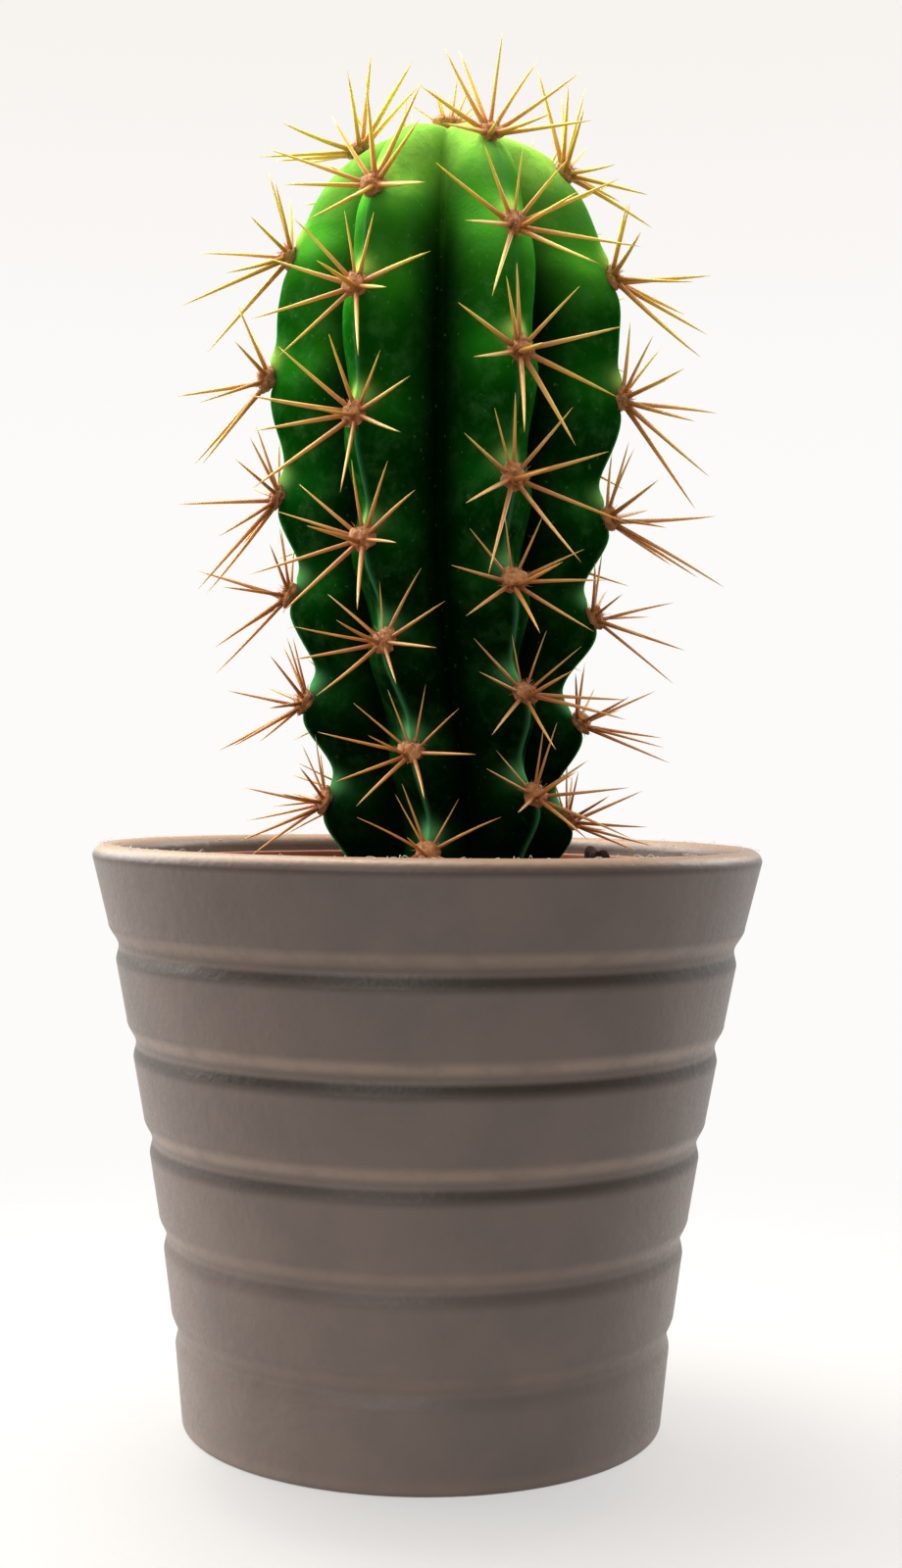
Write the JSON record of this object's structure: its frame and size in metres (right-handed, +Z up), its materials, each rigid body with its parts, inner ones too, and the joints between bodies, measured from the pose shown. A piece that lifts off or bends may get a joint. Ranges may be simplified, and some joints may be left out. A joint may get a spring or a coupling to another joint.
{
  "type": "potted cactus",
  "caption": "Upright ribbed columnar cactus with clusters of needle spines, growing in a nursery pot inside a round tapered ceramic pot with stepped bands and a rounded lip.",
  "frame": {"origin": "centre of the underside of the outer pot's foot ring", "axes": "+Z up along the stem; -Y is the side that faces the viewer; +X to the viewer's right"},
  "size_m": [0.13, 0.13, 0.2671],
  "materials": {
    "taupe_glaze": "satin taupe-grey glaze",
    "terracotta_plastic": "matte terracotta-coloured plastic",
    "potting_soil": "dry dark potting soil",
    "bark": "rough dark bark",
    "stem_green": "waxy green living skin",
    "areole_wool_and_spines": "felted brown wool and dry golden-brown spines"
  },
  "bodies": {
    "root": {"outer_pot": "taupe_glaze", "nursery_pot": "terracotta_plastic", "soil": "potting_soil", "stem": "stem_green", "bark_chip_1": "bark", "bark_chip_2": "bark", "bark_chip_3": "bark", "bark_chip_4": "bark", "areole_1_1": "areole_wool_and_spines", "areole_1_2": "areole_wool_and_spines", "areole_1_3": "areole_wool_and_spines", "areole_1_4": "areole_wool_and_spines", "areole_1_5": "areole_wool_and_spines", "areole_1_6": "areole_wool_and_spines", "areole_1_7": "areole_wool_and_spines", "areole_2_1": "areole_wool_and_spines", "areole_2_2": "areole_wool_and_spines", "areole_2_3": "areole_wool_and_spines", "areole_2_4": "areole_wool_and_spines", "areole_2_5": "areole_wool_and_spines", "areole_2_6": "areole_wool_and_spines", "areole_2_7": "areole_wool_and_spines", "areole_3_1": "areole_wool_and_spines", "areole_3_2": "areole_wool_and_spines", "areole_3_3": "areole_wool_and_spines", "areole_3_4": "areole_wool_and_spines", "areole_3_5": "areole_wool_and_spines", "areole_3_6": "areole_wool_and_spines", "areole_3_7": "areole_wool_and_spines", "areole_4_1": "areole_wool_and_spines", "areole_4_2": "areole_wool_and_spines", "areole_4_3": "areole_wool_and_spines", "areole_4_4": "areole_wool_and_spines", "areole_4_5": "areole_wool_and_spines", "areole_4_6": "areole_wool_and_spines", "areole_4_7": "areole_wool_and_spines", "areole_5_1": "areole_wool_and_spines", "areole_5_2": "areole_wool_and_spines", "areole_5_3": "areole_wool_and_spines", "areole_5_4": "areole_wool_and_spines", "areole_5_5": "areole_wool_and_spines", "areole_5_6": "areole_wool_and_spines", "areole_5_7": "areole_wool_and_spines", "areole_6_1": "areole_wool_and_spines", "areole_6_2": "areole_wool_and_spines", "areole_6_3": "areole_wool_and_spines", "areole_6_4": "areole_wool_and_spines", "areole_6_5": "areole_wool_and_spines", "areole_6_6": "areole_wool_and_spines", "areole_6_7": "areole_wool_and_spines", "crown": "areole_wool_and_spines"}
  },
  "joints": []
}
